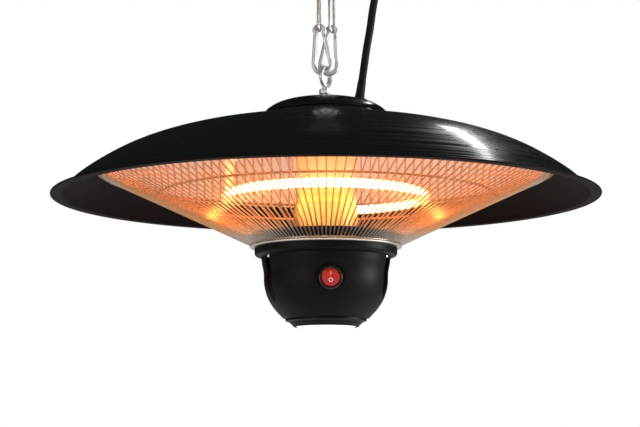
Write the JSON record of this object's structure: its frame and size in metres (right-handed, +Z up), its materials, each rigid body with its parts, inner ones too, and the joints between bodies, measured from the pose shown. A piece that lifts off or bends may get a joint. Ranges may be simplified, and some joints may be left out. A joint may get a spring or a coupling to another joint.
{
  "type": "ceiling infrared heater",
  "caption": "Ceiling-hung infrared heater: wide black dome shade over a ring lamp in a wire guard, with a switch housing below, hung by snap hooks and chain.",
  "frame": {"origin": "middle of the ceiling plate's upper face, on the ceiling", "axes": "+Z up into the ceiling, -Y towards the viewer on the side of the switch, +X to the viewer's right"},
  "size_m": [0.6, 0.6, 0.5275],
  "materials": {
    "zinc_steel": "bright zinc plate, slightly worn",
    "shade_black": "glossy black enamel",
    "black_plastic": "matte black moulding",
    "pan_black": "heat-proof matte black paint",
    "black_rubber": "matte rubber sheath",
    "holder_ceramic": "unglazed steatite",
    "reflector_aluminium": "polished, slightly hammered sheet",
    "lamp_quartz": "gold-tinted quartz tube round a glowing filament",
    "guard_steel": "plated steel wire",
    "trim_silver": "satin plated",
    "rocker_red": "glossy red moulding with plain printed marks",
    "lens_opal": "opal diffuser",
    "board_white": "white lacquered circuit board",
    "pin_nickel": "nickel-plated brass",
    "tie_strap": "woven hook-and-loop strap"
  },
  "bodies": {
    "mounting": {"ceiling_plate": "zinc_steel", "ceiling_staple": "zinc_steel"},
    "hanger": {"chain_link_lower_left": "zinc_steel", "chain_link_lower_right": "zinc_steel", "chain_link_middle_left": "zinc_steel", "chain_link_middle_right": "zinc_steel", "chain_link_upper_left": "zinc_steel", "chain_link_upper_right": "zinc_steel", "snap_hook_left": "zinc_steel", "snap_hook_right": "zinc_steel", "snap_pin_left": "zinc_steel", "snap_pin_right": "zinc_steel", "power_cable": "black_rubber", "cable_coil": "black_rubber", "plug_lead": "black_rubber", "coil_tie": "tie_strap", "plug_body": "black_rubber", "plug_pin_left": "pin_nickel", "plug_pin_right": "pin_nickel"},
    "gate_left": {"snap_gate_left": "zinc_steel"},
    "gate_right": {"snap_gate_right": "zinc_steel"},
    "heater": {"eye_bolt": "zinc_steel", "jam_nut": "zinc_steel", "lock_nut": "zinc_steel", "hanger_nut": "zinc_steel", "top_cap": "shade_black", "cable_gland": "black_plastic", "strain_relief": "black_rubber", "mounting_plate": "zinc_steel", "distance_sleeve": "zinc_steel", "hub_screw_1": "zinc_steel", "hub_screw_2": "zinc_steel", "hub_screw_3": "zinc_steel", "hub_spacer_1": "zinc_steel", "hub_spacer_2": "zinc_steel", "hub_spacer_3": "zinc_steel", "terminal_block": "holder_ceramic", "shade": "shade_black", "reflector": "reflector_aluminium", "ring_lamp": "lamp_quartz", "lamp_holder_1": "holder_ceramic", "lamp_holder_2": "holder_ceramic", "column_tube": "reflector_aluminium", "column_base": "reflector_aluminium", "heat_shield_pan": "pan_black", "wire_guard": "guard_steel", "guard_mid_ring": "guard_steel", "guard_trim_ring": "trim_silver", "guard_clip_1": "guard_steel", "guard_clip_2": "guard_steel", "guard_clip_3": "guard_steel", "lower_housing": "black_plastic", "housing_screw_left": "trim_silver", "housing_screw_right": "trim_silver", "housing_screw_rear": "trim_silver", "switch_body": "black_plastic", "lens_ring": "black_plastic", "lamp_lens": "lens_opal", "led_board": "board_white"},
    "rocker": {"switch_rocker": "rocker_red"}
  },
  "joints": [
    {"name": "hanger_swing", "type": "hinge", "parent": "mounting", "child": "hanger", "pos_m": [0, 0, -0.05505], "axis": [1, 0, 0], "range_deg": [-10, 10]},
    {"name": "heater_tilt", "type": "hinge", "parent": "hanger", "child": "heater", "pos_m": [0, 0, -0.2424], "axis": [0.891, -0.454, 0], "range_deg": [-10, 10], "deforming": ["power_cable"]},
    {"name": "gate_left_hinge", "type": "hinge", "parent": "hanger", "child": "gate_left", "pos_m": [-0.0013, -0.00278, -0.19774], "axis": [0, 1, 0], "range_deg": [0, 28], "stiffness_Nm_per_rad": 0.05, "springref_deg": -20.05},
    {"name": "gate_right_hinge", "type": "hinge", "parent": "hanger", "child": "gate_right", "pos_m": [0.01103, 0.00278, -0.19855], "axis": [0, 1, 0], "range_deg": [0, 28], "stiffness_Nm_per_rad": 0.05, "springref_deg": -20.05},
    {"name": "rocker", "type": "hinge", "parent": "heater", "child": "rocker", "pos_m": [0.00459, -0.06566, -0.472], "axis": [0.9976, 0.0698, 0], "range_deg": [0, 18]}
  ]
}
